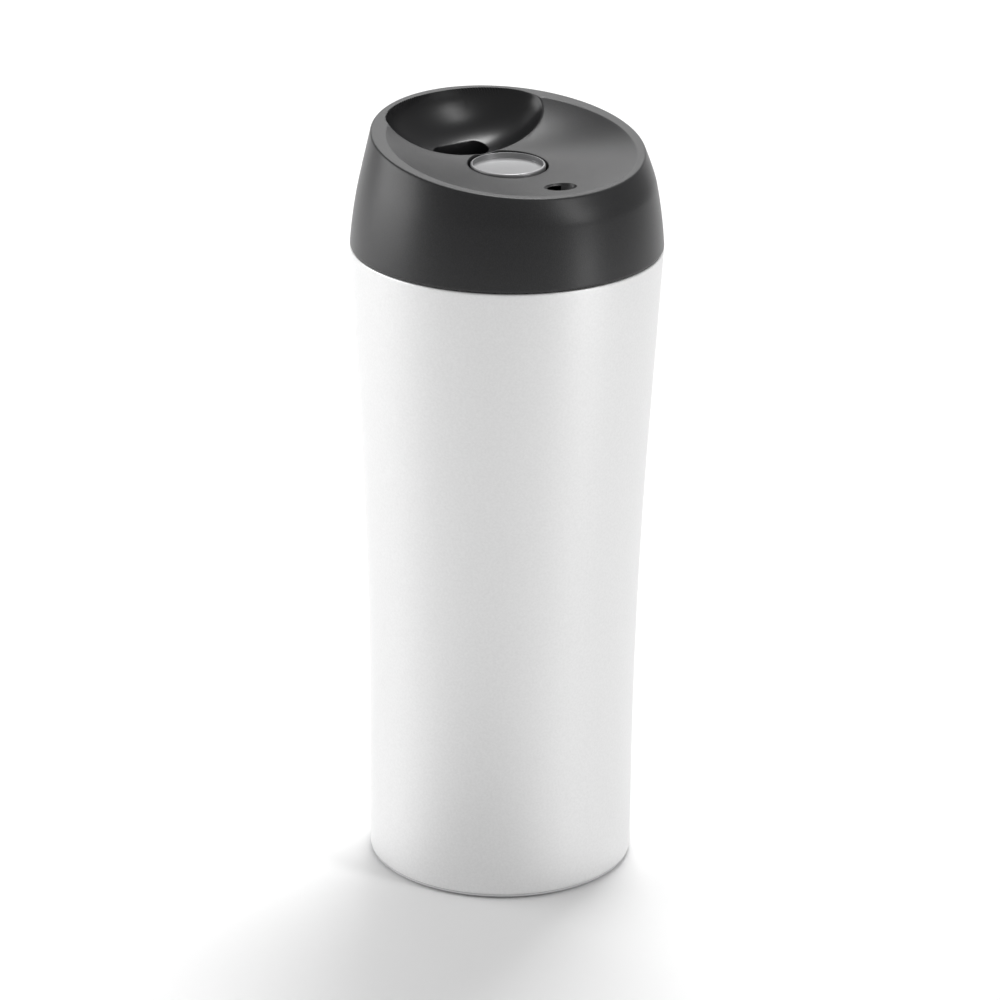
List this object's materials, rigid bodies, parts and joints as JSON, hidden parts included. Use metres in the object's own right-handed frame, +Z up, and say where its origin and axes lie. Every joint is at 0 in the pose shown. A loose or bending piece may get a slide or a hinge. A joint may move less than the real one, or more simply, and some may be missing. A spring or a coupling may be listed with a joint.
{
  "type": "insulated travel mug",
  "caption": "Slim double-walled steel travel mug with a pale body and a dark screw lid: slanted rim, drinking bowl with a slot, air vent and a silver push button.",
  "frame": {"origin": "centre of the foot ring's underside, where the mug stands", "axes": "+Z up along the mug's axis, +X towards the drinking side of the lid"},
  "size_m": [0.08, 0.08, 0.2008],
  "materials": {
    "coated_steel": "satin white coat",
    "brushed_steel": "brushed",
    "brass_bead": "matte",
    "getter_metal": "matte",
    "grey_plastic": "matte",
    "silicone": "matte",
    "dark_plastic": "fine matte texture",
    "pale_plastic": "smooth",
    "silver_plastic": "satin silver plating"
  },
  "bodies": {
    "flask": {"outer_shell": "coated_steel", "inner_flask": "brushed_steel", "shell_bottom": "brushed_steel", "vacuum_seal": "brass_bead", "getter_pellet": "getter_metal", "base_cap": "grey_plastic", "foot_ring": "silicone"},
    "gasket": {"lid_gasket": "silicone"},
    "lid": {"lid_shell": "dark_plastic", "lid_plug": "dark_plastic", "chamber_seal": "silicone", "seal_carrier": "pale_plastic", "stem_seal": "silicone", "spring_washer": "brushed_steel", "return_spring": "brushed_steel", "guide_sleeve": "pale_plastic"},
    "button": {"button_cap": "silver_plastic", "button_plunger": "pale_plastic", "valve_stem": "pale_plastic", "valve_disc": "dark_plastic", "valve_seal": "silicone", "valve_screw": "brushed_steel"},
    "latch": {"latch_rotor": "pale_plastic"}
  },
  "joints": [
    {"name": "lid_lift", "type": "slide", "parent": "flask", "child": "gasket", "axis": [0, 0, 1], "range_m": [0, 0.0281]},
    {"name": "lid_turn", "type": "hinge", "parent": "gasket", "child": "lid", "pos_m": [0, 0, 0.1685], "axis": [0, 0, 1], "range_deg": [0, 1260]},
    {"name": "button_press", "type": "slide", "parent": "lid", "child": "button", "axis": [0, 0, -1], "range_m": [0, 0.004], "stiffness_N_per_m": 900, "springref_m": -0.003, "deforming": ["return_spring"]},
    {"name": "latch_turn", "type": "hinge", "parent": "button", "child": "latch", "pos_m": [0, 0, 0.178], "axis": [0, 0, 1], "range_deg": [0, 45]}
  ],
  "couplings": [
    {"joint": "lid_lift", "follows": "lid_turn", "m_per_rad": 0.0012732},
    {"joint": "latch_turn", "follows": "button_press", "rad_per_m": 196.35}
  ]
}
